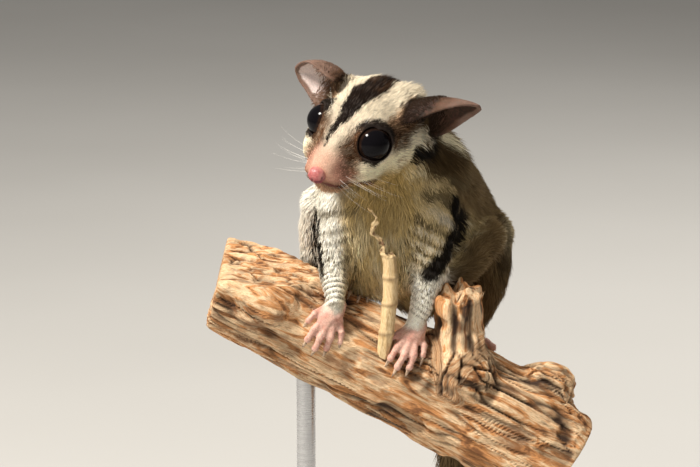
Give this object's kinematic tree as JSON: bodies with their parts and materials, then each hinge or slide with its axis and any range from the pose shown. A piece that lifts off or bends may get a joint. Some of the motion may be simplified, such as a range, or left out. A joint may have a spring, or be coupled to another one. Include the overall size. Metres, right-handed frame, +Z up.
{
  "type": "sugar glider",
  "caption": "Still life-size model of a sugar glider gripping a cut length of weathered branch with its head turned and its tail hanging, held on a flat display base by rods.",
  "frame": {"origin": "centre of the stand base's underside, on the floor", "axes": "+Z up; -Y is the way the glider's body faces; +X is the glider's left"},
  "size_m": [0.15, 0.1586, 0.2428],
  "materials": {
    "coat_grey": "dense soft grey fur, darker on the back and limbs",
    "coat_cream": "short cream and grey fur",
    "bare_skin": "bare pink skin, faintly wrinkled",
    "eye_black": "wet gloss",
    "weathered_wood": "dry, split, barkless wood",
    "stand_wood": "dark stained, satin lacquer",
    "stand_steel": "satin"
  },
  "bodies": {
    "root": {"head": "coat_cream", "lower_jaw": "coat_cream", "nose": "bare_skin", "eye_left": "eye_black", "eye_right": "eye_black", "ear_left": "bare_skin", "ear_right": "bare_skin", "neck": "coat_grey", "trunk": "coat_grey", "tail_base": "coat_grey", "tail_middle": "coat_grey", "tail_tip": "coat_grey", "upper_arm_left": "coat_cream", "upper_arm_right": "coat_cream", "forearm_left": "coat_cream", "forearm_right": "coat_cream", "fore_paw_left": "bare_skin", "fore_paw_right": "bare_skin", "thigh_left": "coat_grey", "thigh_right": "coat_grey", "shank_left": "coat_grey", "shank_right": "coat_grey", "hind_foot_left": "bare_skin", "hind_foot_right": "bare_skin", "patagium_left": "coat_grey", "patagium_right": "coat_grey", "perch_branch": "weathered_wood", "perch_twig": "weathered_wood", "stand_base": "stand_wood", "stand_rod_left": "stand_steel", "stand_rod_right": "stand_steel"}
  },
  "joints": []
}
